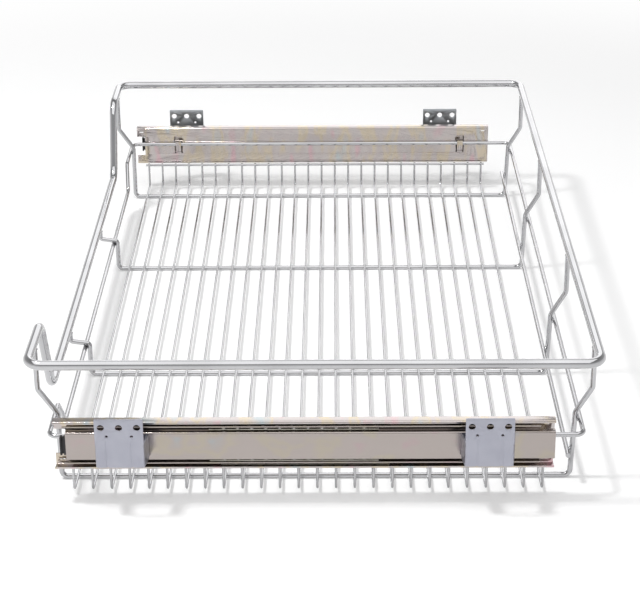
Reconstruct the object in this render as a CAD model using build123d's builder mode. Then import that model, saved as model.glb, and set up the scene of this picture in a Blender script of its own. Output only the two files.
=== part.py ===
from build123d import *
import os

# Pull-out wire basket for a 900 mm kitchen cabinet, in millimetres.
# X runs across the cabinet, Y from the front (-) to the rear (+), Z up.
# The origin is on the floor under the middle of the rim.

# ---------------------------------------------------------------- sizes
# cabinet and slides
clear_width = 864  # between the cabinet's side walls
wall_standoff = 20.3  # from the slide's outer face to the wall, bridged by the brackets
slide_length = 450
slide_height = 48
slide_thickness = 12.7  # all three members closed up
slide_z = 58.5  # centre line of the slides above the floor
slide_setback = 20  # slide's front end behind the rim's front rod

# slide members: sheet thickness, depth from back to open side, free gaps
channel_sheet = 1.2
channel_depth = 11
channel_lip = 2.4  # edge turned in over the balls
channel_bend = 2.2
middle_sheet = 1.1
middle_gap = 1.4  # between the webs of channel and middle member
middle_depth = 6.8
middle_insets = (12, 13)  # from the channel's front and rear ends
cabinet_sheet = 1.2
cabinet_depth = 6.7
cabinet_front = 11
member_bend = 1.5

# balls and cages: the outer stage runs in the channel, the inner one on the cabinet member
outer_ball_dia = 3.9
inner_ball_dia = 3.4
ball_play = 0.1  # above and below each ball, and round it in its cage
cage_sheet = 0.6
cage_gap = 0.4  # between a cage's web and the member's web beside it
cage_length = 152
outer_cage_front = 150
inner_cage_front = 140
balls_per_row = 11
ball_pitch = 12.6

# front end of the channel: a notch that clears the bumper, and small stop slots
notch_depth = 10
notch_height = 25
stop_slot = (5, 1.4)
slot_insets = (6, 7)  # from the channel's front and rear ends
slot_height = 18.5  # slots above and below the centre line

# hooks lanced out of the channel's web, holding the middle rail
hook_width = 7
hook_insets = (53, 36)  # from the channel's front and rear ends
hook_tip = 4.5  # above the rail's centre
hook_seat = 0.75  # below the rail's centre, where the hook turns up
hook_root = 12.8
window_margin = 1.6  # round the hook
window_top = 9.5  # above the rail's centre

# bumper clipped on the front end of the cabinet member
bumper_front = 5.8
bumper_height = 18
bumper_reach = 7.6  # from the member's face towards the basket
bumper_plug = 5  # length inside the member
bumper_groove = (1.6, 1.2)  # width and depth of the groove round its head

# wall brackets
bracket_sheet = 1.5
bracket_width = 43.2
bracket_flare = 2.6  # each arm spreads outwards by this from the wall to the slide
bracket_top = 96
bracket_bottom = 48.5
bracket_arm_top = 72
bracket_insets = (62, 60.5)  # from the slide's front and rear ends
bracket_foot = 9
bracket_bend = 1.5
screw_hole_dia = 6.4
screw_hole_pitch = 16
screw_hole_drop = 8  # below the bracket's top edge
pilot_hole_dia = 2.8
pilot_hole_pitch = 22.2
pilot_hole_drop = 16.5
bead_width = 1.4
bead_depth = 0.5
bead_length = 28
bead_gap = 3.5  # below the small holes

# wire basket
basket_depth = 518  # over the rim
basket_height = 142  # to the top of the rim
rim_dia = 9
rim_outset = 8  # rim's centre outside the channel's back
rim_corner = 15
rim_dip = 84
rim_dip_margins = (76, 88)  # level stub from the rim's left and right side to the dip
rim_dip_runs = (33, 42)  # across the slope from the stub down to the dip's level
rim_dip_bend = 21
rail_dia = 4.6
rail_z = 61.5
rail_front = 6  # in front of the slide
rail_rear = 27.5  # behind the slide
rail_corner = 8
rail_dip = 28.5
rail_dip_setback = 2.3  # dipped part behind the level stubs
rail_dip_margins = (72.7, 64)  # left and right
rail_dip_runs = (22, 22)
rail_dip_bend = 10
carrier_dia = 5
carrier_inset = 42.5  # outer carriers inside the rim's side
inner_carrier_places = (-129, 149)
carrier_corner = 6
carrier_bend = 9
carrier_knee_high = 93  # where an upright turns in towards the middle rail
carrier_knee_low = 68
carrier_dip_bend = 3.2  # where it crosses over the dipped middle rail
carrier_dip_fall = 2.7  # of that crossing towards the basket
carrier_lean = 2.5  # rear uprights lean out by this up to their low knee
carrier_top_inset = 1.5  # upright's centre inside the rim's centre
guard_dia = 4.6
guard_z = 29
guard_overhang = 12.5  # past the outer carriers
wire_dia = 2.5
wire_pitch = 17.1
wire_first = 14.2  # behind the slide's front end
wire_inset = 3  # the wires' ends inside the channel's back
wire_corner = 4
wire_top = 35.3
end_rod_dia = 3
end_rod_overhang = 3.5
end_rod_drop = 1  # its centre below the wires' ends

fit = 0.05  # clearance where one piece is put into or on another
weld = 0.2  # how far welded rods sink into each other

# ---------------------------------------------------------------- places
wall = clear_width / 2
slide_face = wall - wall_standoff
channel_back = slide_face - slide_thickness
rim_front = -(basket_depth - rim_dia) / 2
rim_rear = -rim_front
rim_z = basket_height - rim_dia / 2
rim_half_width = channel_back + rim_outset
slide_front = rim_front + slide_setback
rail_half_width = channel_back - rail_dia / 2 - fit
rail_front_y = slide_front - rail_front
rail_rear_y = slide_front + slide_length + rail_rear
carrier_z = carrier_dia / 2
low_rim_z = rim_z - rim_dip
low_rail_z = rail_z - rail_dip
dip_front_y = rail_front_y + rail_dip_setback
outer_carrier_x = rim_half_width - carrier_inset
carrier_places = (-outer_carrier_x, *inner_carrier_places, outer_carrier_x)
guard_half_width = outer_carrier_x + guard_overhang
wire_half_width = channel_back - wire_inset
wire_z = carrier_dia + wire_dia / 2 - weld
wire_count = int((slide_length - wire_first) / wire_pitch) + 1

# depth in the slide, measured from the channel's back towards the wall
middle_back = channel_sheet + middle_gap
middle_half_height = slide_height / 2 - channel_sheet - outer_ball_dia - 2 * ball_play
cabinet_half_height = middle_half_height - middle_sheet - inner_ball_dia - 2 * ball_play
outer_ball_z = slide_height / 2 - channel_sheet - ball_play - outer_ball_dia / 2
inner_ball_z = cabinet_half_height + ball_play + inner_ball_dia / 2
outer_ball_depth = channel_depth / 2
cabinet_open = slide_thickness - cabinet_depth
inner_ball_depth = (cabinet_open + middle_back + middle_depth) / 2

# places along the slide, behind its front end
slot_places = (slot_insets[0], slide_length - slot_insets[1])
hook_places = (hook_insets[0], slide_length - hook_insets[1])
bracket_places = (bracket_insets[0], slide_length - bracket_insets[1])
middle_front = middle_insets[0]
middle_length = slide_length - sum(middle_insets)

sides = (("left", -1), ("right", 1))
os.makedirs("parts", exist_ok=True)


def save(part, name):
    part.label = name
    export_step(part, f"parts/{name}.step")


def bent_rod(points, bends, diameter):
    """One rod bent round the corners of a line of points."""
    with BuildPart() as rod:
        with BuildLine() as path:
            FilletPolyline(*points, radius=bends)
        with BuildSketch(Plane(origin=path.line @ 0, z_dir=path.line % 0)):
            Circle(diameter / 2)
        sweep()
    return rod.part


def straight_rod(start, end, diameter):
    with BuildPart() as rod:
        with BuildLine() as path:
            Line(start, end)
        with BuildSketch(Plane(origin=start, z_dir=path.line % 0)):
            Circle(diameter / 2)
        sweep()
    return rod.part


def loop_half(sign, half_width, rear, front, dip_front, z, dip, margin, run):
    """One half of a rail that runs round the basket and dips at the front."""
    dip_top = half_width - margin
    return [
        (0, rear, z),
        (sign * half_width, rear, z),
        (sign * half_width, front, z),
        (sign * dip_top, front, z),
        (sign * (dip_top - run), dip_front, z - dip),
        (0, dip_front, z - dip),
    ]


# ---------------------------------------------------------------- rim and middle rail
with BuildPart() as rim_rail:
    for (side, sign), margin, run in zip(sides, rim_dip_margins, rim_dip_runs):
        rim_points = loop_half(
            sign, rim_half_width, rim_rear, rim_front, rim_front, rim_z, rim_dip, margin, run
        )
        add(bent_rod(rim_points, (rim_corner, rim_corner, rim_dip_bend, rim_dip_bend), rim_dia))
save(rim_rail.part, "rim_rail")

with BuildPart() as middle_rail:
    for (side, sign), margin, run in zip(sides, rail_dip_margins, rail_dip_runs):
        rail_points = loop_half(
            sign, rail_half_width, rail_rear_y, rail_front_y, dip_front_y, rail_z, rail_dip, margin, run
        )
        add(bent_rod(rail_points, (rail_corner, rail_corner, rail_dip_bend, rail_dip_bend), rail_dia))
save(middle_rail.part, "middle_rail")

# ---------------------------------------------------------------- carrier rods
# Each runs down from the rim, in to the middle rail, along the floor and up again.
rail_touch = (rail_dia + carrier_dia) / 2 - weld
low_rear_y = rail_rear_y - rail_touch
top_front_y = rim_front + carrier_top_inset
top_rear_y = rim_rear - carrier_top_inset
carrier_names = ("left_outer", "left_inner", "right_inner", "right_outer")

for carrier_name, x in zip(carrier_names, carrier_places):
    if abs(x) < outer_carrier_x:  # ends under the dipped rim and crosses over the dipped rail
        low_front_y = dip_front_y + rail_touch
        fall_slope = carrier_dip_fall / (low_front_y - top_front_y)
        crossing_z = low_rail_z + rail_touch * (1 + fall_slope**2) ** 0.5
        front_points = [
            (x, top_front_y, low_rim_z - rim_dia / 2 + weld),
            (x, top_front_y, crossing_z + fall_slope * (dip_front_y - top_front_y)),
            (x, low_front_y, crossing_z - fall_slope * rail_touch),
        ]
        front_bend = carrier_dip_bend
    else:
        low_front_y = rail_front_y + rail_touch
        front_points = [
            (x, top_front_y, rim_z - rim_dia / 2 + weld),
            (x, top_front_y, carrier_knee_high),
            (x, low_front_y, carrier_knee_low),
        ]
        front_bend = carrier_bend
    rear_points = [
        (x, low_front_y, carrier_z),
        (x, low_rear_y - carrier_lean, carrier_z),
        (x, low_rear_y, carrier_knee_low),
        (x, top_rear_y, carrier_knee_high),
        (x, top_rear_y, rim_z - rim_dia / 2 + weld),
    ]
    carrier_bends = [front_bend] * 2 + [carrier_corner] * 2 + [carrier_bend] * 2
    with BuildPart() as carrier_rod:
        add(bent_rod(front_points + rear_points, carrier_bends, carrier_dia))
    save(carrier_rod.part, f"carrier_rod_{carrier_name}")

# ---------------------------------------------------------------- rear guard rod
lean_at_guard = carrier_lean * (carrier_knee_low - guard_z) / (carrier_knee_low - carrier_z)
guard_y = low_rear_y - lean_at_guard - (carrier_dia + guard_dia) / 2 + weld
with BuildPart() as rear_guard_rod:
    add(straight_rod((-guard_half_width, guard_y, guard_z), (guard_half_width, guard_y, guard_z), guard_dia))
save(rear_guard_rod.part, "rear_guard_rod")

# ---------------------------------------------------------------- floor wires
with BuildPart() as floor_wires:
    wire_y = slide_front + wire_first
    floor_wire = bent_rod(
        [
            (-wire_half_width, wire_y, wire_top),
            (-wire_half_width, wire_y, wire_z),
            (wire_half_width, wire_y, wire_z),
            (wire_half_width, wire_y, wire_top),
        ],
        wire_corner,
        wire_dia,
    )
    with Locations([(0, k * wire_pitch, 0) for k in range(wire_count)]):
        add(floor_wire)
save(floor_wires.part, "floor_wires")

end_rod_x = wire_half_width - (wire_dia + end_rod_dia) / 2 + weld
end_rod_front = wire_y - end_rod_overhang
end_rod_rear = wire_y + (wire_count - 1) * wire_pitch + end_rod_overhang
end_rod_z = wire_top - end_rod_drop
for side, sign in sides:
    with BuildPart() as wire_end_rod:
        start = (sign * end_rod_x, end_rod_front, end_rod_z)
        add(straight_rod(start, (sign * end_rod_x, end_rod_rear, end_rod_z), end_rod_dia))
    save(wire_end_rod.part, f"wire_end_rod_{side}")


# ---------------------------------------------------------------- slides
def slide_plane(behind_front):
    """A plane across the slide, facing the front, this far behind the channel's front end."""
    return Plane.XZ.offset(-(slide_front + behind_front))


def in_slide(sign, depth, z=0):
    """A point across the slide: depth from the channel's back, height from the centre line."""
    return (sign * (channel_back + depth), slide_z + z)


for side, sign in sides:
    # channel: the wide member, hooked to the basket, open towards the wall
    with BuildPart() as slide_channel:
        with BuildSketch(slide_plane(0)) as channel_outline:
            with Locations(in_slide(sign, channel_depth / 2)):
                Rectangle(channel_depth, slide_height)
            fillet(channel_outline.vertices(), channel_bend)
            with Locations(in_slide(sign, channel_depth / 2)):
                Rectangle(
                    channel_depth - 2 * channel_sheet,
                    slide_height - 2 * channel_sheet,
                    mode=Mode.SUBTRACT,
                )
            with Locations(in_slide(sign, channel_depth - channel_sheet / 2)):
                Rectangle(2 * channel_sheet, slide_height - 2 * channel_lip, mode=Mode.SUBTRACT)
        extrude(amount=-slide_length)
        # notch, stop slots and hook windows in the web
        web_plane = Plane.YZ.offset(sign * (channel_back + channel_sheet))
        with BuildSketch(web_plane):
            with Locations((slide_front, slide_z)):
                RectangleRounded(2 * notch_depth, notch_height, channel_sheet)
            for place in slot_places:
                with Locations((slide_front + place, slide_z)):
                    with GridLocations(0, 2 * slot_height, 1, 2):
                        SlotOverall(*stop_slot)
            for place in hook_places:
                window_bottom_z = rail_z - hook_root
                window_height = hook_root + window_top
                with Locations((slide_front + place, window_bottom_z + window_height / 2)):
                    Rectangle(hook_width + 2 * window_margin, window_height)
        extrude(amount=-sign * channel_sheet, mode=Mode.SUBTRACT)
        # hooks: a tongue that leaves the web below the rail and stands up in front of it
        tongue_x = rail_half_width - rail_dia / 2 - fit - channel_sheet / 2
        web_x = channel_back + channel_sheet / 2
        for place in hook_places:
            with BuildSketch(slide_plane(place - hook_width / 2)):
                with BuildLine():
                    Polyline(
                        (sign * web_x, rail_z - hook_root - channel_sheet),
                        (sign * web_x, rail_z - hook_root + channel_sheet),
                        (sign * tongue_x, rail_z - hook_seat),
                        (sign * tongue_x, rail_z + hook_tip),
                    )
                trace(line_width=channel_sheet)
            extrude(amount=-hook_width)
    save(slide_channel.part, f"slide_channel_{side}")

    # middle member: runs in the channel and on the cabinet member
    with BuildPart() as middle_member:
        with BuildSketch(slide_plane(middle_front)) as middle_outline:
            with Locations(in_slide(sign, middle_back + middle_depth / 2)):
                Rectangle(middle_depth, 2 * middle_half_height)
            back_corners = middle_outline.vertices().sort_by(Axis.X)
            fillet(back_corners[:2] if sign > 0 else back_corners[2:], member_bend)
            with Locations(in_slide(sign, middle_back + middle_sheet + middle_depth / 2)):
                Rectangle(middle_depth, 2 * (middle_half_height - middle_sheet), mode=Mode.SUBTRACT)
        extrude(amount=-middle_length)
    save(middle_member.part, f"middle_member_{side}")

    # cabinet member: the narrow one, fixed to the wall through the brackets
    with BuildPart() as cabinet_member:
        with BuildSketch(slide_plane(cabinet_front)) as cabinet_outline:
            with Locations(in_slide(sign, slide_thickness - cabinet_depth / 2)):
                Rectangle(cabinet_depth, 2 * cabinet_half_height)
            face_corners = cabinet_outline.vertices().sort_by(Axis.X)
            fillet(face_corners[2:] if sign > 0 else face_corners[:2], member_bend)
            with Locations(in_slide(sign, slide_thickness - cabinet_sheet - cabinet_depth / 2)):
                Rectangle(cabinet_depth, 2 * (cabinet_half_height - cabinet_sheet), mode=Mode.SUBTRACT)
        extrude(amount=-(slide_length - cabinet_front))
    save(cabinet_member.part, f"cabinet_member_{side}")

    # ball cages and balls of both stages
    stages = (
        ("outer", channel_sheet + cage_gap, outer_ball_depth, outer_ball_z, outer_ball_dia, outer_cage_front),
        (
            "inner",
            middle_back + middle_sheet + cage_gap,
            inner_ball_depth,
            inner_ball_z,
            inner_ball_dia,
            inner_cage_front,
        ),
    )
    for stage, cage_back, ball_depth, ball_z, ball_dia, cage_front in stages:
        cage_half_height = ball_z + cage_sheet / 2
        cage_depth = ball_depth + ball_dia / 2 + cage_sheet - cage_back
        first_ball_y = slide_front + cage_front + (cage_length - (balls_per_row - 1) * ball_pitch) / 2
        ball_spots = [
            (sign * (channel_back + ball_depth), first_ball_y + k * ball_pitch, slide_z + row * ball_z)
            for k in range(balls_per_row)
            for row in (-1, 1)
        ]
        with BuildPart() as ball_cage:
            with BuildSketch(slide_plane(cage_front)):
                with Locations(in_slide(sign, cage_back + cage_depth / 2)):
                    Rectangle(cage_depth, 2 * cage_half_height)
                with Locations(in_slide(sign, cage_back + cage_sheet + cage_depth / 2)):
                    Rectangle(cage_depth, 2 * (cage_half_height - cage_sheet), mode=Mode.SUBTRACT)
            extrude(amount=-cage_length)
            with Locations(ball_spots):
                Cylinder(ball_dia / 2 + ball_play, 2 * cage_sheet, mode=Mode.SUBTRACT)
        save(ball_cage.part, f"{stage}_ball_cage_{side}")

        with BuildPart() as balls:
            with Locations(ball_spots):
                Sphere(ball_dia / 2)
        save(balls.part, f"{stage}_balls_{side}")

    # bumper: a plug in the cabinet member's front end with a grooved head in front of it
    with BuildPart() as front_bumper:
        head_length = cabinet_front - bumper_front - fit
        with BuildSketch(slide_plane(bumper_front)):
            with Locations(in_slide(sign, slide_thickness - fit - bumper_reach / 2)):
                RectangleRounded(bumper_reach, bumper_height, member_bend)
        extrude(amount=-head_length)
        groove_width, groove_depth = bumper_groove
        with BuildSketch(slide_plane(bumper_front + (head_length - groove_width) / 2)):
            with Locations(in_slide(sign, slide_thickness - fit - bumper_reach / 2)):
                RectangleRounded(bumper_reach, bumper_height, member_bend)
                RectangleRounded(
                    bumper_reach - 2 * groove_depth,
                    bumper_height - 2 * groove_depth,
                    member_bend / 2,
                    mode=Mode.SUBTRACT,
                )
        extrude(amount=-groove_width, mode=Mode.SUBTRACT)
        plug_depth = cabinet_depth - cabinet_sheet - 2 * fit
        plug_middle = slide_thickness - cabinet_sheet - fit - plug_depth / 2
        with BuildSketch(slide_plane(cabinet_front - fit)):
            with Locations(in_slide(sign, plug_middle)):
                Rectangle(plug_depth, bumper_height)
        extrude(amount=-bumper_plug)
    save(front_bumper.part, f"front_bumper_{side}")

    # wall brackets: a plate on the wall and two arms with feet on the cabinet member
    for place_name, place in zip(("front", "rear"), bracket_places):
        bracket_y = slide_front + place
        with BuildPart() as wall_bracket:
            with BuildSketch(Plane.XY.offset(bracket_bottom)):
                plate_x = sign * (wall - bracket_sheet / 2)
                foot_x = sign * (slide_face + bracket_sheet / 2)
                plate_edge = (bracket_width - bracket_sheet) / 2
                foot_edge = plate_edge + bracket_flare
                with BuildLine():
                    FilletPolyline(
                        (foot_x, bracket_y + foot_edge - bracket_foot),
                        (foot_x, bracket_y + foot_edge),
                        (plate_x, bracket_y + plate_edge),
                        (plate_x, bracket_y - plate_edge),
                        (foot_x, bracket_y - foot_edge),
                        (foot_x, bracket_y - foot_edge + bracket_foot),
                        radius=bracket_bend,
                    )
                trace(line_width=bracket_sheet)
            extrude(amount=bracket_arm_top - bracket_bottom)
            plate_plane = Plane.YZ.offset(sign * wall)
            with BuildSketch(plate_plane):
                with Locations((bracket_y, (bracket_top + bracket_arm_top) / 2)):
                    Rectangle(bracket_width, bracket_top - bracket_arm_top)
                with Locations((bracket_y, bracket_top - screw_hole_drop)):
                    with GridLocations(screw_hole_pitch, 0, 3, 1):
                        Circle(screw_hole_dia / 2, mode=Mode.SUBTRACT)
                with Locations((bracket_y, bracket_top - pilot_hole_drop)):
                    with GridLocations(pilot_hole_pitch, 0, 2, 1):
                        Circle(pilot_hole_dia / 2, mode=Mode.SUBTRACT)
            extrude(amount=-sign * bracket_sheet)
            with BuildSketch(plate_plane):
                bead_middle_z = bracket_top - pilot_hole_drop - bead_gap - bead_length / 2
                with Locations((bracket_y, bead_middle_z)):
                    with GridLocations(pilot_hole_pitch, 0, 2, 1):
                        SlotOverall(bead_length, bead_width, rotation=90)
            extrude(amount=-sign * bead_depth, mode=Mode.SUBTRACT)
        save(wall_bracket.part, f"wall_bracket_{side}_{place_name}")
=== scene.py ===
import math

import bmesh
import bpy
from mathutils import Matrix, Vector


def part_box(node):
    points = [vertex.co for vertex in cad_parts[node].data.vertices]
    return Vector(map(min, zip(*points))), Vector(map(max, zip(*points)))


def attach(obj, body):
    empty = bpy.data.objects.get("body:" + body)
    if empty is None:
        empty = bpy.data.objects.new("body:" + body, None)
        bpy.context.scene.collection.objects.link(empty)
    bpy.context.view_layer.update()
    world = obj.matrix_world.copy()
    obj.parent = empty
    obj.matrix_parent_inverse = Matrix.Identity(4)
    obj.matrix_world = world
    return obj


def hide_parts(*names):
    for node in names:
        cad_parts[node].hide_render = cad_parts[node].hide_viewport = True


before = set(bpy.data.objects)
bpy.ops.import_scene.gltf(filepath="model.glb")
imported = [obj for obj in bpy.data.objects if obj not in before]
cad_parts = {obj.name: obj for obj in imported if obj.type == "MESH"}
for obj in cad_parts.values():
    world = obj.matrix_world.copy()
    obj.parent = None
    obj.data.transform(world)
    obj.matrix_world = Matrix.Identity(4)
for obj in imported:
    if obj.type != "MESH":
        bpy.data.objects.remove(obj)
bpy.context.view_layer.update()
mm = 0.001
sides = (("left", -1), ("right", 1))


def linear(hexColour):
    parts = [int(hexColour[i:i + 2], 16) / 255 for i in (1, 3, 5)]
    return [c / 12.92 if c <= 0.04045 else ((c + 0.055) / 1.055) ** 2.4 for c in parts] + [1.0]


def addNode(tree, kind, settings=None, links=None):
    # settings go to the input of that name or number, or else to the node itself
    node = tree.nodes.new(kind)
    for key, value in (settings or {}).items():
        if isinstance(key, int) or key in node.inputs:
            node.inputs[key].default_value = value
        else:
            setattr(node, key, value)
    for key, source in (links or {}).items():
        tree.links.new(source, node.inputs[key])
    return node


def newMaterial(name):
    material = bpy.data.materials.new(name)
    material.use_nodes = True
    material.node_tree.nodes.clear()
    return material, material.node_tree


def bentPath(points, bends, closed=False, turnStep=6):
    # straight runs joined by tangent arcs, one bend radius for each inner corner
    points = [Vector(p) for p in points]
    count = len(points)
    corners = range(count) if closed else range(1, count - 1)
    path = [] if closed else [points[0]]
    for i, bend in zip(corners, bends):
        here = points[i]
        back = (points[i - 1] - here).normalized()
        ahead = (points[(i + 1) % count] - here).normalized()
        turn = math.pi - back.angle(ahead)
        reach = bend * math.tan(turn / 2)
        centre = here + (back + ahead).normalized() * (bend / math.cos(turn / 2))
        first = here + back * reach - centre
        axis = ahead.cross(back).normalized()
        steps = max(2, round(math.degrees(turn) / turnStep))
        for k in range(steps + 1):
            path.append(centre + Matrix.Rotation(turn * k / steps, 3, axis) @ first)
    if not closed:
        path.append(points[-1])
    return path


def addTube(bm, path, radius, ringSides=20, closed=False, chamfer=0.12):
    # a round rod swept along the path, its cut ends broken by a small chamfer
    count = len(path)
    tangents = []
    for i in range(count):
        before = path[i - 1] if closed or i > 0 else path[i]
        after = path[(i + 1) % count] if closed or i < count - 1 else path[i]
        tangents.append((after - before).normalized())
    normals = [tangents[0].orthogonal().normalized()]
    for i in range(1, count):
        normals.append(tangents[i - 1].rotation_difference(tangents[i]) @ normals[-1])
    twist = 0.0
    if closed:
        last = tangents[-1].rotation_difference(tangents[0]) @ normals[-1]
        twist = math.atan2(last.cross(normals[0]).dot(tangents[0]), last.dot(normals[0]))
    stations = [(path[i], tangents[i], normals[i], radius, twist * i / count) for i in range(count)]
    if not closed:
        inset = radius * chamfer
        for end, way in ((0, 1), (-1, -1)):
            point, tangent, normal, _, _ = stations[end]
            stations[end] = (point + tangent * inset * way, tangent, normal, radius, 0.0)
            cutEnd = (point, tangent, normal, radius - inset, 0.0)
            stations.insert(0 if end == 0 else len(stations), cutEnd)
    rings = []
    for point, tangent, normal, reach, turn in stations:
        across = tangent.cross(normal)
        ring = []
        for k in range(ringSides):
            angle = 2 * math.pi * k / ringSides + turn
            spoke = normal * math.cos(angle) + across * math.sin(angle)
            ring.append(bm.verts.new(point + spoke * reach))
        rings.append(ring)
    for a, b in zip(rings, rings[1:] + rings[:1] if closed else rings[1:]):
        for k in range(ringSides):
            bm.faces.new((a[k], a[(k + 1) % ringSides], b[(k + 1) % ringSides], b[k]))
    if not closed:
        bm.faces.new(list(reversed(rings[0])))
        bm.faces.new(rings[-1])


def addNugget(bm, place, size, segments=12):
    # the smooth swelling of a plated resistance weld round a crossing
    scale = Matrix.Diagonal((*size, 1.0))
    bmesh.ops.create_uvsphere(bm, u_segments=segments, v_segments=segments // 2, radius=1.0,
                              matrix=Matrix.Translation(place) @ scale)


def shadeByAngle(mesh, degrees=35):
    mesh.polygons.foreach_set("use_smooth", [True] * len(mesh.polygons))
    mesh.set_sharp_from_angle(angle=math.radians(degrees))
    mesh.update()


def meshFrom(bm, name, degrees=35):
    bmesh.ops.recalc_face_normals(bm, faces=bm.faces)
    mesh = bpy.data.meshes.new(name)
    bm.to_mesh(mesh)
    bm.free()
    shadeByAngle(mesh, degrees)
    return mesh


def addPiece(name, mesh, material, body, nodes):
    piece = bpy.data.objects.new(name, mesh)
    bpy.context.scene.collection.objects.link(piece)
    mesh.materials.clear()
    mesh.materials.append(material)
    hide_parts(*nodes)
    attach(piece, body)
    return piece


studio = {
    "floorColour": "#E4E4E4",
    "floorLift": 0.28,  # added to the lit floor for the camera, which brings it up to white
    "floorSize": 60.0,
    "whiteFrom": 0.80, "whiteAt": 1.50,  # metres from the basket, where the sweep turns plain white
    "roomColour": "#CBCBCD", "roomStrength": 0.16,
    # what mirrors see above the white sweep: the height of each shade, and its brightness
    "horizon": (0.10, 1.0), "sky": (0.26, 0.55), "zenith": (0.75, 0.30),
    "topPlace": (0.50, -0.10, 2.0), "topSize": 3.3, "topPower": 46.0,
    "backPlace": (-3.6, 0.2, 1.9), "backSize": 2.6, "backPower": 26.0,
    "keyPlace": (0.35, -1.5, 3.2), "keySize": 0.40, "keyPower": 56.0,
    "lampsAim": (0.0, 0.0, 0.05),
}


def seenDirectly(tree):
    # 1 for camera, mirror and see-through rays, which show the white background
    path = addNode(tree, "ShaderNodeLightPath")
    mirror = addNode(tree, "ShaderNodeMath", {"operation": "MAXIMUM"},
                     {0: path.outputs["Is Camera Ray"], 1: path.outputs["Is Glossy Ray"]})
    return addNode(tree, "ShaderNodeMath", {"operation": "MAXIMUM"},
                   {0: mirror.outputs[0], 1: path.outputs["Is Transmission Ray"]})


def buildFloor():
    bm = bmesh.new()
    bmesh.ops.create_grid(bm, x_segments=4, y_segments=4, size=studio["floorSize"] / 2)
    material, tree = newMaterial("paperSweep")
    lift = addNode(tree, "ShaderNodeMath", {"operation": "MULTIPLY", 1: studio["floorLift"]},
                   {0: seenDirectly(tree).outputs[0]})
    paper = addNode(tree, "ShaderNodeBsdfDiffuse", {"Color": linear(studio["floorColour"])})
    glow = addNode(tree, "ShaderNodeEmission", {"Color": (1, 1, 1, 1)}, {"Strength": lift.outputs[0]})
    both = addNode(tree, "ShaderNodeAddShader", links={0: paper.outputs[0], 1: glow.outputs[0]})
    # the lamps fade with distance, so the far paper is shown as the white backdrop it runs into
    place = addNode(tree, "ShaderNodeTexCoord")
    away = addNode(tree, "ShaderNodeVectorMath", {"operation": "LENGTH"}, {0: place.outputs["Object"]})
    fade = addNode(tree, "ShaderNodeMapRange",
                   {"interpolation_type": "SMOOTHSTEP", 1: studio["whiteFrom"], 2: studio["whiteAt"]},
                   {0: away.outputs["Value"]})
    share = addNode(tree, "ShaderNodeMath", {"operation": "MULTIPLY"},
                    {0: seenDirectly(tree).outputs[0], 1: fade.outputs[0]})
    white = addNode(tree, "ShaderNodeEmission", {"Color": (1, 1, 1, 1), "Strength": 1.0})
    mix = addNode(tree, "ShaderNodeMixShader",
                  links={0: share.outputs[0], 1: both.outputs[0], 2: white.outputs[0]})
    addNode(tree, "ShaderNodeOutputMaterial", links={0: mix.outputs[0]})
    floor = bpy.data.objects.new("floor", meshFrom(bm, "floor"))
    bpy.context.scene.collection.objects.link(floor)
    floor.data.materials.append(material)


def buildWorld():
    world = bpy.data.worlds.new("studioWorld")
    bpy.context.scene.world = world
    world.use_nodes = True
    tree = world.node_tree
    tree.nodes.clear()
    room = addNode(tree, "ShaderNodeBackground",
                   {"Color": linear(studio["roomColour"]), "Strength": studio["roomStrength"]})
    # white at the horizon, darker overhead, as a studio with its lamps out of the way
    ahead = addNode(tree, "ShaderNodeTexCoord")
    height = addNode(tree, "ShaderNodeSeparateXYZ", links={0: ahead.outputs["Generated"]})
    shades = addNode(tree, "ShaderNodeValToRGB", links={0: height.outputs["Z"]})
    elements = shades.color_ramp.elements
    elements.new(0.5)
    for element, shade in zip(elements, ("horizon", "sky", "zenith")):
        element.position, brightness = studio[shade]
        element.color = [brightness] * 3 + [1.0]
    seen = addNode(tree, "ShaderNodeBackground", {"Strength": 1.0}, {"Color": shades.outputs[0]})
    mix = addNode(tree, "ShaderNodeMixShader",
                  links={0: seenDirectly(tree).outputs[0], 1: room.outputs[0], 2: seen.outputs[0]})
    addNode(tree, "ShaderNodeOutputWorld", links={0: mix.outputs[0]})


def addSoftbox(name):
    lamp = bpy.data.lights.new(name + "Softbox", "AREA")
    lamp.shape = "SQUARE"
    lamp.size = studio[name + "Size"]
    lamp.energy = studio[name + "Power"]
    softbox = bpy.data.objects.new(name + "Softbox", lamp)
    softbox.location = studio[name + "Place"]
    aim = Vector(studio["lampsAim"]) - softbox.location
    softbox.rotation_euler = aim.to_track_quat("-Z", "Y").to_euler()
    softbox.visible_camera = False
    softbox.visible_diffuse = name != "back"  # the back one only shows in the chrome
    bpy.context.scene.collection.objects.link(softbox)


view = {
    "place": (1.9160, 0.0187, 0.8720),
    "down": 24.01, "turn": 0.494, "roll": -0.421,  # degrees
    "focalPixels": 1903.5, "imageWidth": 640, "sensorWidth": 36.0, "farthest": 100.0,
}


def buildCamera():
    camera = bpy.data.objects.new("camera", bpy.data.cameras.new("camera"))
    camera.location = view["place"]
    camera.data.sensor_width = view["sensorWidth"]
    camera.data.lens = view["focalPixels"] * view["sensorWidth"] / view["imageWidth"]
    camera.data.clip_end = view["farthest"]
    down, turn, roll = (math.radians(view[k]) for k in ("down", "turn", "roll"))
    ahead = Vector((-math.cos(down) * math.cos(turn), -math.cos(down) * math.sin(turn), -math.sin(down)))
    level = ahead.cross(Vector((0, 0, 1))).normalized()
    up = level.cross(ahead)
    right = level * math.cos(roll) + up * math.sin(roll)
    top = up * math.cos(roll) - level * math.sin(roll)
    camera.rotation_euler = Matrix((right, top, -ahead)).transposed().to_euler()
    bpy.context.scene.collection.objects.link(camera)
    bpy.context.scene.camera = camera


bpy.context.scene.view_settings.view_transform = "Standard"
buildFloor()
buildWorld()
for softboxName in ("top", "back", "key"):
    addSoftbox(softboxName)
buildCamera()
print("stage: floor, light and camera")


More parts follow.
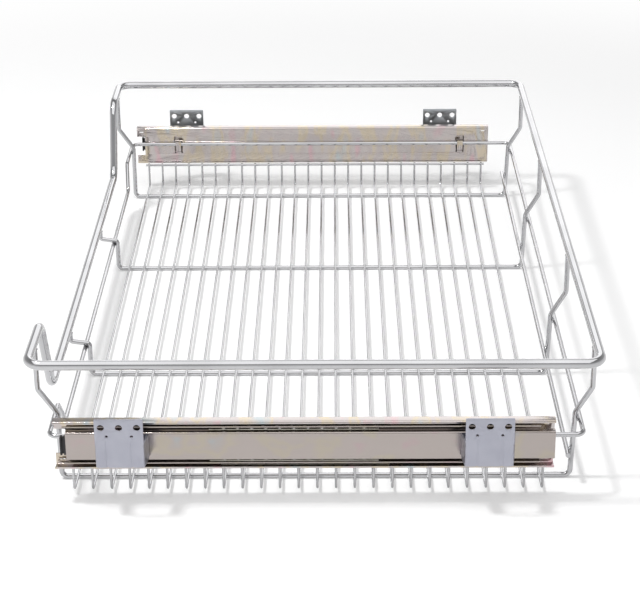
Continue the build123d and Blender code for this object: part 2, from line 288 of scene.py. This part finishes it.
noiseLow, noiseHigh = 0.3, 0.7  # nearly all of a noise pattern's values lie between these


def surfaceMaterial(name, look):
    # a slow pattern tints the surface and a fine one breaks its gloss; sizes are real, for each axis
    material, tree = newMaterial(name)
    surface = addNode(tree, "ShaderNodeTexCoord")
    fields = []
    for sizes, detail in ((look["tintSize"], look["tintDetail"]), (look["grainSize"], 2.0)):
        spread = addNode(tree, "ShaderNodeMapping", {"Scale": [1 / size for size in sizes]},
                         {"Vector": surface.outputs["Object"]})
        fields.append(addNode(tree, "ShaderNodeTexNoise", {"Scale": 1.0, "Detail": detail},
                              {"Vector": spread.outputs[0]}))
    tint, grain = fields
    colours = addNode(tree, "ShaderNodeValToRGB", links={0: tint.outputs[0]})
    elements = colours.color_ramp.elements
    while len(elements) < len(look["colours"]):
        elements.new(0.5)
    for element, (place, colour) in zip(elements, look["colours"]):
        element.position = place
        element.color = linear(colour)
    smooth, rough = look["roughness"]
    gloss = addNode(tree, "ShaderNodeMapRange", {1: noiseLow, 2: noiseHigh, 3: smooth, 4: rough},
                    {0: grain.outputs[0]})
    bump = addNode(tree, "ShaderNodeBump", {"Strength": look["bump"], "Distance": look["bumpDepth"]},
                   {"Height": grain.outputs[0]})
    shader = addNode(tree, "ShaderNodeBsdfPrincipled", look["shader"],
                     {"Base Color": colours.outputs[0], "Roughness": gloss.outputs[0],
                      "Normal": bump.outputs[0]})
    addNode(tree, "ShaderNodeOutputMaterial", links={0: shader.outputs[0]})
    return material


def chromePlate():
    # bright nickel and chrome plate on drawn steel rod: a nearly neutral mirror, whose brightness
    # varies a little as the plate's thickness does
    return surfaceMaterial("chromePlatedRod", {
        "colours": ((0.35, "#B3B3B5"), (0.65, "#BEBEC0")), "tintSize": (60 * mm,) * 3, "tintDetail": 1.0,
        "grainSize": (3 * mm,) * 3, "roughness": (0.07, 0.10), "bump": 0.02, "bumpDepth": 0.05 * mm,
        "shader": {"Metallic": 1.0},
    })


def memberZinc():
    # cold rolled strip, barrel zinc plated and passivated: warm grey with a faint drifting film,
    # and fine rolling lines along the slide
    return surfaceMaterial("passivatedZincStrip", {
        "colours": ((0.26, "#A1A3A4"), (0.34, "#A79F9A"), (0.41, "#AAA296"), (0.49, "#A79F9B"),
                    (0.63, "#A8A09C"), (0.72, "#AC9B9C")),
        "tintSize": (40 * mm, 34 * mm, 26 * mm), "tintDetail": 2.0,
        "grainSize": (0.5 * mm, 90 * mm, 0.5 * mm), "roughness": (0.16, 0.24), "bump": 0.06,
        "bumpDepth": 0.05 * mm, "shader": {"Metallic": 1.0, "Anisotropic": 0.3},
    })


def channelZinc():
    # the wide channels' strip is brighter: smooth enough to mirror the wires in front of it, and
    # its thicker film shows upright drifts of yellow, pink and blue
    return surfaceMaterial("iridescentZincStrip", {
        "colours": ((0.28, "#AFB6B8"), (0.37, "#BBB4AE"), (0.44, "#C2B6A2"), (0.51, "#BAB2B0"),
                    (0.60, "#B9B3B1"), (0.70, "#C4A9AC")),
        "tintSize": (40 * mm, 20 * mm, 60 * mm), "tintDetail": 2.0,
        "grainSize": (0.5 * mm, 90 * mm, 0.5 * mm), "roughness": (0.13, 0.18), "bump": 0.008,
        "bumpDepth": 0.05 * mm, "shader": {"Metallic": 1.0, "Anisotropic": 0.2},
    })


def bracketZinc(name, light, dark):
    # pressed sheet, blue passivated zinc: cooler and flatter than the slides, softly mottled
    return surfaceMaterial(name, {
        "colours": ((0.32, dark), (0.68, light)), "tintSize": (24 * mm,) * 3, "tintDetail": 2.0,
        "grainSize": (0.7 * mm,) * 3, "roughness": (0.34, 0.44), "bump": 0.06, "bumpDepth": 0.05 * mm,
        "shader": {"Metallic": 1.0},
    })


def cageStrip():
    # thin cage strip, passivated, its colour drifting a little towards olive
    return surfaceMaterial("oliveTintedCageStrip", {
        "colours": ((0.35, "#A29E92"), (0.65, "#BAB7AE")), "tintSize": (12 * mm,) * 3, "tintDetail": 2.0,
        "grainSize": (2 * mm,) * 3, "roughness": (0.25, 0.40), "bump": 0.05, "bumpDepth": 0.05 * mm,
        "shader": {"Metallic": 1.0},
    })


def bearingSteel():
    # ground and lapped bearing balls: bright, with a thin uneven film of grease
    return surfaceMaterial("bearingSteel", {
        "colours": ((0.4, "#C4C1B8"), (0.6, "#DCDCDE")), "tintSize": (2 * mm,) * 3, "tintDetail": 1.0,
        "grainSize": (1 * mm,) * 3, "roughness": (0.08, 0.18), "bump": 0.02, "bumpDepth": 0.02 * mm,
        "shader": {"Metallic": 1.0},
    })


def bumperPlastic():
    # moulded black polypropylene: near black, with the soft gloss of a spark-eroded mould
    return surfaceMaterial("mouldedPolypropylene", {
        "colours": ((0.4, "#141416"), (0.7, "#242427")), "tintSize": (6 * mm,) * 3, "tintDetail": 2.0,
        "grainSize": (0.6 * mm,) * 3, "roughness": (0.34, 0.50), "bump": 0.25, "bumpDepth": 0.1 * mm,
        "shader": {"IOR": 1.49},
    })


chrome = chromePlate()
memberFinish = memberZinc()
channelFinish = channelZinc()
zincSheets = {  # one copy of the zinc for each side, each set to how that side's brackets look in the light that falls on them: the left copy, greyer and lighter, is painted light
    "right": bracketZinc("bluePassivatedZincSheet", "#ACADB7", "#A4A5B0"),
    "left": bracketZinc("bluePassivatedZincSheetPaintedLight", "#BBBFC3", "#AAAFB3"),
}
cageFinish = cageStrip()
ballFinish = bearingSteel()
blackPlastic = bumperPlastic()
print("stage: finishes")

rods = {
    "rim": 4.5 * mm, "rail": 2.3 * mm, "carrier": 2.5 * mm, "guard": 2.3 * mm,  # radii
    "wire": 1.25 * mm, "endRod": 1.5 * mm, "weld": 0.2 * mm,
    "rimCorner": 15 * mm, "rimDip": 84 * mm, "rimDipBend": 21 * mm, "rimDipSetback": 0.0,
    "rimDipMargins": (76 * mm, 88 * mm), "rimDipRuns": (33 * mm, 42 * mm),  # left and right
    "railCorner": 8 * mm, "railDip": 28.5 * mm, "railDipBend": 10 * mm, "railDipSetback": 2.3 * mm,
    "railDipMargins": (72.7 * mm, 64 * mm), "railDipRuns": (22 * mm, 22 * mm),
    "carrierCorner": 6 * mm, "carrierBend": 9 * mm, "carrierDipBend": 3.2 * mm,
    "carrierDipFall": 2.7 * mm, "carrierLean": 2.5 * mm, "kneeHigh": 93 * mm, "kneeLow": 68 * mm,
    "wireCorner": 4 * mm, "wireCount": 26,
}
welds = {  # how far each weld swells in X, Y and Z, as shares of its rod's radius
    "rim": (1.22, 1.22, 0.61), "rail": (1.30, 0.715, 1.30), "guard": (1.25, 0.625, 1.25),
    "floor": (1.56, 1.43, 0.78), "wireEnd": (0.78, 1.30, 1.30),
}
carrierNames = ("left_outer", "left_inner", "right_inner", "right_outer")


def middleOf(node):
    low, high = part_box(node)
    return (low + high) / 2


def swelling(weld, rod):
    return [share * rods[rod] for share in welds[weld]]


def addRod(name, bm, node):
    addPiece(name, meshFrom(bm, name), chrome, "basket", [node])


def buildLoop(name, node, kind, ringSides):
    # a closed rod round the basket, level at the back and sides, dipped at the front
    low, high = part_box(node)
    radius = rods[kind]
    halfWidth, front, rear, z = high.x - radius, low.y + radius, high.y - radius, high.z - radius
    dip, bend = rods[kind + "Dip"], rods[kind + "DipBend"]
    leftTop, rightTop = (halfWidth - margin for margin in rods[kind + "DipMargins"])
    leftLow, rightLow = (top - run for top, run in zip((leftTop, rightTop), rods[kind + "DipRuns"]))
    dipFront = front + rods[kind + "DipSetback"]
    points = [(-leftLow, dipFront, z - dip), (rightLow, dipFront, z - dip), (rightTop, front, z),
              (halfWidth, front, z), (halfWidth, rear, z), (-halfWidth, rear, z), (-halfWidth, front, z),
              (-leftTop, front, z)]
    bm = bmesh.new()
    bends = [bend] * 3 + [rods[kind + "Corner"]] * 4 + [bend]
    addTube(bm, bentPath(points, bends, closed=True, turnStep=4), radius, ringSides, closed=True)
    addRod(name, bm, node)


def buildCarriers():
    rimHigh, railLow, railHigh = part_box("rim_rail")[1], *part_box("middle_rail")
    rodLow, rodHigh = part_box("carrier_rod_left_outer")
    touch = rods["rail"] + rods["carrier"] - rods["weld"]
    topFront, topRear = rodLow.y + rods["carrier"], rodHigh.y - rods["carrier"]
    stubFront, lowRear = railLow.y + rods["rail"], railHigh.y - rods["rail"] - touch
    dipFront = stubFront + rods["railDipSetback"]
    top = rimHigh.z - 2 * rods["rim"] + rods["weld"]
    railZ = railHigh.z - rods["rail"]
    slope = rods["carrierDipFall"] / (dipFront + touch - topFront)
    overRail = railZ - rods["railDip"] + touch * math.hypot(1, slope)
    for name in carrierNames:
        node = "carrier_rod_" + name
        x = middleOf(node).x
        if name.endswith("inner"):  # ends under the dipped rim and crosses over the dipped rail
            lowFront = dipFront + touch
            points = [(x, topFront, top - rods["rimDip"]),
                      (x, topFront, overRail + slope * (dipFront - topFront)),
                      (x, lowFront, overRail - slope * touch)]
            bend = rods["carrierDipBend"]
        else:
            lowFront = stubFront + touch
            points = [(x, topFront, top), (x, topFront, rods["kneeHigh"]), (x, lowFront, rods["kneeLow"])]
            bend = rods["carrierBend"]
        points += [(x, lowFront, rods["carrier"]), (x, lowRear - rods["carrierLean"], rods["carrier"]),
                   (x, lowRear, rods["kneeLow"]), (x, topRear, rods["kneeHigh"]), (x, topRear, top)]
        bends = [bend] * 2 + [rods["carrierCorner"]] * 2 + [rods["carrierBend"]] * 2
        bm = bmesh.new()
        addTube(bm, bentPath(points, bends), rods["carrier"], ringSides=28, chamfer=0.02)
        for y, z in ((topFront, points[0][2]), (topRear, top)):
            addNugget(bm, (x, y, z), swelling("rim", "carrier"), segments=20)
        addNugget(bm, (x, lowRear + rods["carrier"], railZ), swelling("rail", "rail"), segments=16)
        addRod("carrierRod_" + name, bm, node)


def buildGuardRod():
    low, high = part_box("rear_guard_rod")
    y, z = (low.y + high.y) / 2, (low.z + high.z) / 2
    bm = bmesh.new()
    addTube(bm, [Vector((low.x, y, z)), Vector((high.x, y, z))], rods["guard"], ringSides=28)
    for name in carrierNames:
        place = (middleOf("carrier_rod_" + name).x, high.y, z)
        addNugget(bm, place, swelling("guard", "guard"), segments=16)
    addRod("rearGuardRod", bm, "rear_guard_rod")


def buildFloorWires():
    low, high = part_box("floor_wires")
    halfWidth, z = high.x - rods["wire"], low.z + rods["wire"]
    first, last = low.y + rods["wire"], high.y - rods["wire"]
    places = [first + (last - first) * k / (rods["wireCount"] - 1) for k in range(rods["wireCount"])]
    bm = bmesh.new()
    for y in places:
        points = [(-halfWidth, y, high.z), (-halfWidth, y, z), (halfWidth, y, z), (halfWidth, y, high.z)]
        addTube(bm, bentPath(points, [rods["wireCorner"]] * 2), rods["wire"], ringSides=16)
        for name in carrierNames:
            place = (middleOf("carrier_rod_" + name).x, y, z - rods["wire"])
            addNugget(bm, place, swelling("floor", "wire"))
    addRod("floorWires", bm, "floor_wires")
    for side, sign in sides:
        node = "wire_end_rod_" + side
        rodLow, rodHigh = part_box(node)
        middle = middleOf(node)
        bm = bmesh.new()
        ends = [Vector((middle.x, y, middle.z)) for y in (rodLow.y, rodHigh.y)]
        addTube(bm, ends, rods["endRod"])
        for y in places:
            place = (middle.x + sign * rods["endRod"], y, middle.z)
            addNugget(bm, place, swelling("wireEnd", "wire"), segments=10)
        addRod("wireEndRod_" + side, bm, node)


buildLoop("rimRod", "rim_rail", "rim", ringSides=40)
buildLoop("middleRod", "middle_rail", "rail", ringSides=28)
buildCarriers()
buildGuardRod()
buildFloorWires()
print("stage: wire basket")


sheetCrease = 32  # degrees: gentler turns of the pressed sheet are shaded smooth


def prism(outline, shift):
    # a closed body between an outline and the same outline moved by shift
    bm = bmesh.new()
    near = [bm.verts.new(p) for p in outline]
    far = [bm.verts.new(p + shift) for p in outline]
    count = len(outline)
    for k in range(count):
        bm.faces.new((near[k], near[(k + 1) % count], far[(k + 1) % count], far[k]))
    bm.faces.new(near[::-1])
    bm.faces.new(far)
    return bm


def foldedStrip(points, bends, sheet, shift):
    # a strip folded along the line through the middle of its sheet, drawn out along shift
    path = bentPath(points, bends, turnStep=18)
    outer, inner = [], []
    for i, here in enumerate(path):
        ahead = path[min(i + 1, len(path) - 1)] - path[max(i - 1, 0)]
        normal = shift.cross(ahead).normalized() * sheet / 2
        outer.append(here + normal)
        inner.append(here - normal)
    return prism(outer + inner[::-1], shift)


def block(low, high, corner=0.0, axis=0):
    # a box between two corners, its edges along axis rounded
    bm = bmesh.new()
    low, high = Vector(map(min, low, high)), Vector(map(max, low, high))
    bmesh.ops.create_cube(bm, size=1.0, matrix=Matrix.Translation((low + high) / 2)
                          @ Matrix.Diagonal((*(high - low), 1.0)))
    if corner:
        along = [e for e in bm.edges if abs(e.verts[0].co[axis] - e.verts[1].co[axis]) > 1.0e-6]
        bmesh.ops.bevel(bm, geom=along, offset=corner, segments=5, affect="EDGES", profile=0.5)
    return bm


def drill(place, radius, depth, alongY=0.0, alongZ=0.0, segments=32):
    # a round cutter along X, drawn out to a slot by alongY or alongZ
    outline = []
    for k in range(segments):
        y, z = math.cos(2 * math.pi * (k + 0.5) / segments), math.sin(2 * math.pi * (k + 0.5) / segments)
        outline.append(Vector((place[0] - depth, place[1] + y * radius + math.copysign(alongY, y),
                               place[2] + z * radius + math.copysign(alongZ, z))))
    return prism(outline, Vector((2 * depth, 0, 0)))


def scratchObject(bm):
    bmesh.ops.recalc_face_normals(bm, faces=bm.faces)
    mesh = bpy.data.meshes.new("scratch")
    bm.to_mesh(mesh)
    bm.free()
    scratch = bpy.data.objects.new("scratch", mesh)
    bpy.context.scene.collection.objects.link(scratch)
    return scratch


def pressedMesh(name, body, edge, cutters=(), additions=()):
    # joins and cuts the blank, then breaks its sharp edges as a press tool leaves them
    blank = scratchObject(body)
    helpers = []
    for kind, group in (("UNION", additions), ("DIFFERENCE", cutters)):
        for tool in group:
            cut = blank.modifiers.new("cut", "BOOLEAN")
            cut.operation = kind
            cut.solver = "EXACT"
            cut.object = scratchObject(tool)
            helpers.append(cut.object)
    bevel = blank.modifiers.new("edge", "BEVEL")
    bevel.width = edge
    bevel.segments = 2
    bevel.limit_method = "ANGLE"
    bevel.angle_limit = math.radians(50)
    depsgraph = bpy.context.evaluated_depsgraph_get()
    mesh = bpy.data.meshes.new_from_object(blank.evaluated_get(depsgraph))
    mesh.name = name
    for helper in helpers + [blank]:
        bpy.data.objects.remove(helper)
    shadeByAngle(mesh, sheetCrease)
    return mesh


def joined(meshes, name):
    bm = bmesh.new()
    for mesh in meshes:
        bm.from_mesh(mesh)
    whole = bpy.data.meshes.new(name)
    bm.to_mesh(whole)
    bm.free()
    return whole


channel = {
    "sheet": 1.2 * mm, "depth": 11 * mm, "bend": 1.6 * mm, "edge": 0.3 * mm,
    "lip": 2.4 * mm, "lipBend": 1.2 * mm,
    "notchDepth": 10 * mm, "notchHeight": 25 * mm, "notchCorner": 1.2 * mm,
    "slotLength": 5 * mm, "slotWidth": 1.4 * mm, "slotRise": 18.5 * mm, "slotPlaces": (6 * mm, 443 * mm),
    "hookPlaces": (53 * mm, 414 * mm), "hookWidth": 7 * mm, "hookTip": 4.5 * mm, "hookSeat": 0.75 * mm,
    "hookRoot": 12.8 * mm, "hookBends": (0.8 * mm, 1.4 * mm), "hookEdge": 0.25 * mm, "fit": 0.05 * mm,
    "windowMargin": 1.6 * mm, "windowTop": 9.5 * mm, "windowCorner": 0.5 * mm,
}


def buildChannel(side, sign):
    node = "slide_channel_" + side
    low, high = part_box(node)
    z, halfHeight, sheet = (low.z + high.z) / 2, (high.z - low.z) / 2, channel["sheet"]
    openX = max(abs(low.x), abs(high.x))
    back = openX - channel["depth"]
    web, lipX = back + sheet / 2, openX - sheet / 2
    flange = halfHeight - sheet / 2
    half = [(lipX, halfHeight - channel["lip"]), (lipX, flange), (web, flange)]
    points = [(sign * x, low.y, z + rise) for x, rise in half]
    points += [(sign * x, low.y, z - rise) for x, rise in half[::-1]]
    bends = [channel["lipBend"], channel["bend"], channel["bend"], channel["lipBend"]]
    length = Vector((0, high.y - low.y, 0))
    deep = 4 * sheet
    cutters = [block((sign * back - deep, low.y - channel["notchDepth"], z - channel["notchHeight"] / 2),
                     (sign * back + deep, low.y + channel["notchDepth"], z + channel["notchHeight"] / 2),
                     channel["notchCorner"])]
    slotRadius = channel["slotWidth"] / 2
    for y in channel["slotPlaces"]:
        for rise in (-channel["slotRise"], channel["slotRise"]):
            cutters.append(drill((sign * back, low.y + y, z + rise), slotRadius, deep,
                                 alongY=channel["slotLength"] / 2 - slotRadius, segments=16))
    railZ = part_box("middle_rail")[1].z - rods["rail"]
    halfWindow = channel["hookWidth"] / 2 + channel["windowMargin"]
    root = railZ - channel["hookRoot"]
    for y in channel["hookPlaces"]:
        cutters.append(block((sign * back - deep, low.y + y - halfWindow, root),
                             (sign * back + deep, low.y + y + halfWindow, railZ + channel["windowTop"]),
                             channel["windowCorner"]))
    meshes = [pressedMesh("web", foldedStrip(points, bends, sheet, length), channel["edge"], cutters)]
    tongue = back - 2 * rods["rail"] - 2 * channel["fit"] - sheet / 2
    for y in channel["hookPlaces"]:
        # the lanced tongue leaves the web below the rail and stands up in front of it
        start = low.y + y - channel["hookWidth"] / 2
        points = [(sign * web, start, root - sheet), (sign * web, start, root + sheet),
                  (sign * tongue, start, railZ - channel["hookSeat"]),
                  (sign * tongue, start, railZ + channel["hookTip"])]
        strip = foldedStrip(points, channel["hookBends"], sheet, Vector((0, channel["hookWidth"], 0)))
        meshes.append(pressedMesh("hook", strip, channel["hookEdge"]))
    mesh = joined(meshes, "slideChannel_" + side)
    shadeByAngle(mesh, sheetCrease)
    addPiece("slideChannel_" + side, mesh, channelFinish, "basket", [node])


member = {
    "middleSheet": 1.1 * mm, "cabinetSheet": 1.2 * mm, "bend": 1.2 * mm, "edge": 0.25 * mm,
    "roll": 0.9 * mm, "tip": 4 * mm,  # the rolled edges' radius, and how far they stand out in front
}


def buildMember(kind, side, sign, body):
    # a C-shaped member of the slide: the middle one opens to the wall, the cabinet's to the basket
    name, node = f"{kind}Member_{side}", f"{kind}_member_{side}"
    sheet, opensToBasket = member[kind + "Sheet"], kind == "cabinet"
    low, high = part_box(node)
    near, far = sorted((abs(low.x), abs(high.x)))
    z, halfHeight = (low.z + high.z) / 2, (high.z - low.z) / 2 - sheet / 2
    edge, web = (near, far - sheet / 2) if opensToBasket else (far, near + sheet / 2)
    points = [(sign * edge, low.y, z + halfHeight), (sign * web, low.y, z + halfHeight),
              (sign * web, low.y, z - halfHeight), (sign * edge, low.y, z - halfHeight)]
    strip = foldedStrip(points, [member["bend"]] * 2, sheet, Vector((0, high.y - low.y, 0)))
    meshes = [pressedMesh(name, strip, member["edge"])]
    if not opensToBasket:  # the middle member's races end in rolled edges, with rounded tips in front
        for rise in (halfHeight, -halfHeight):
            ends = [Vector((sign * edge, y, z + rise)) for y in (low.y - member["tip"], high.y)]
            bm = bmesh.new()
            addTube(bm, ends, member["roll"], chamfer=0.4)
            meshes.append(meshFrom(bm, "roll"))
    mesh = joined(meshes, name)
    shadeByAngle(mesh, sheetCrease)
    addPiece(name, mesh, memberFinish, body, [node])


bumper = {
    "head": 5.15 * mm, "reach": 7.6 * mm, "corner": 1.5 * mm, "edge": 0.3 * mm, "crease": 40,
    "groove": 1.6 * mm, "grooveDepth": 1.2 * mm, "grooveEdge": 0.02 * mm,
    "plugDepth": 5.4 * mm, "plugInset": 1.2 * mm,
}


def buildBumper(side, sign):
    # a grooved head in front of the cabinet member, and the plug that holds it there
    node = "front_bumper_" + side
    low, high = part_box(node)
    face = max(abs(low.x), abs(high.x))
    rib = (bumper["head"] - bumper["groove"]) / 2
    discs = ((0.0, rib, 0.0, bumper["edge"]),
             (rib, rib + bumper["groove"], bumper["grooveDepth"], bumper["grooveEdge"]),
             (rib + bumper["groove"], bumper["head"], 0.0, bumper["edge"]))
    meshes = []
    for start, end, inset, edge in discs:
        disc = block((sign * (face - bumper["reach"] + inset), low.y + start, low.z + inset),
                     (sign * (face - inset), low.y + end, high.z - inset), bumper["corner"], axis=1)
        meshes.append(pressedMesh("disc", disc, edge))
    plugFace = face - bumper["plugInset"]
    plug = block((sign * (plugFace - bumper["plugDepth"]), low.y + bumper["head"], low.z),
                 (sign * plugFace, high.y, high.z))
    meshes.append(pressedMesh("plug", plug, bumper["edge"]))
    mesh = joined(meshes, "frontBumper_" + side)
    shadeByAngle(mesh, bumper["crease"])
    addPiece("frontBumper_" + side, mesh, blackPlastic, "cabinet_side", [node])


bracket = {
    "sheet": 1.5 * mm, "width": 43.2 * mm, "bend": 1.2 * mm, "edge": 0.28 * mm,
    "armTop": 72 * mm, "flare": 2.6 * mm, "foot": 9 * mm, "tabOverlap": 1.0 * mm, "topCorner": 1.0 * mm,
    "screwHole": 3.2 * mm, "screwPitch": 16 * mm, "screwDrop": 8 * mm,
    "pilotHole": 1.4 * mm, "pilotPitch": 22.2 * mm, "pilotDrop": 16.5 * mm,
    "beadWidth": 2.6 * mm, "beadDepth": 0.8 * mm, "beadLength": 28 * mm, "beadGap": 3.5 * mm,
}


def buildBracket(side, sign, end):
    # a pressed plate with three screw holes, two small holes over shallow beads, and footed arms
    node = f"wall_bracket_{side}_{end}"
    low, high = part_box(node)
    wall, face = max(abs(low.x), abs(high.x)), min(abs(low.x), abs(high.x))
    y, halfWidth, sheet = (low.y + high.y) / 2, bracket["width"] / 2, bracket["sheet"]
    footX, plateX, armY = face + sheet / 2, wall - sheet / 2, halfWidth - sheet / 2
    footY = armY + bracket["flare"]
    half = [(footX, footY - bracket["foot"]), (footX, footY), (plateX, armY)]
    points = [(sign * x, y + along, low.z) for x, along in half]
    points += [(sign * x, y - along, low.z) for x, along in half[::-1]]
    hat = foldedStrip(points, [bracket["bend"]] * 4, sheet, Vector((0, 0, bracket["armTop"] - low.z)))
    tab = block((sign * (wall - sheet), y - halfWidth, bracket["armTop"] - bracket["tabOverlap"]),
                (sign * wall, y + halfWidth, high.z))
    tips = [e for e in tab.edges if min(v.co.z for v in e.verts) > high.z - 0.01 * mm
            and abs(e.verts[0].co.x - e.verts[1].co.x) > sheet / 2]
    bmesh.ops.bevel(tab, geom=tips, offset=bracket["topCorner"], segments=4, affect="EDGES", profile=0.5)
    cutters = []
    for k in (-1, 0, 1):
        place = (sign * wall, y + k * bracket["screwPitch"], high.z - bracket["screwDrop"])
        cutters.append(drill(place, bracket["screwHole"], 3 * sheet, segments=40))
    pilotZ = high.z - bracket["pilotDrop"]
    beadZ = pilotZ - bracket["beadGap"] - bracket["beadLength"] / 2
    beadRadius = bracket["beadWidth"] / 2
    for k in (-0.5, 0.5):
        pilotY = y + k * bracket["pilotPitch"]
        cutters.append(drill((sign * wall, pilotY, pilotZ), bracket["pilotHole"], 3 * sheet, segments=24))
        cutters.append(drill((sign * wall, pilotY, beadZ), beadRadius, bracket["beadDepth"],
                             alongZ=bracket["beadLength"] / 2 - beadRadius, segments=16))
    mesh = pressedMesh(node, hat, bracket["edge"], cutters, [tab])
    addPiece(f"wallBracket_{side}_{end}", mesh, zincSheets[side], "cabinet_side", [node])


def setFinish(node, material):
    node.data.materials.clear()
    node.data.materials.append(material)


for side, sign in sides:
    buildChannel(side, sign)
    buildMember("middle", side, sign, "middle_" + side)
    buildMember("cabinet", side, sign, "cabinet_side")
    buildBumper(side, sign)
    for end in ("front", "rear"):
        buildBracket(side, sign, end)
    for stage in ("inner", "outer"):
        setFinish(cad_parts[f"{stage}_ball_cage_{side}"], cageFinish)
        setFinish(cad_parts[f"{stage}_balls_{side}"], ballFinish)
print("stage: slides and brackets")
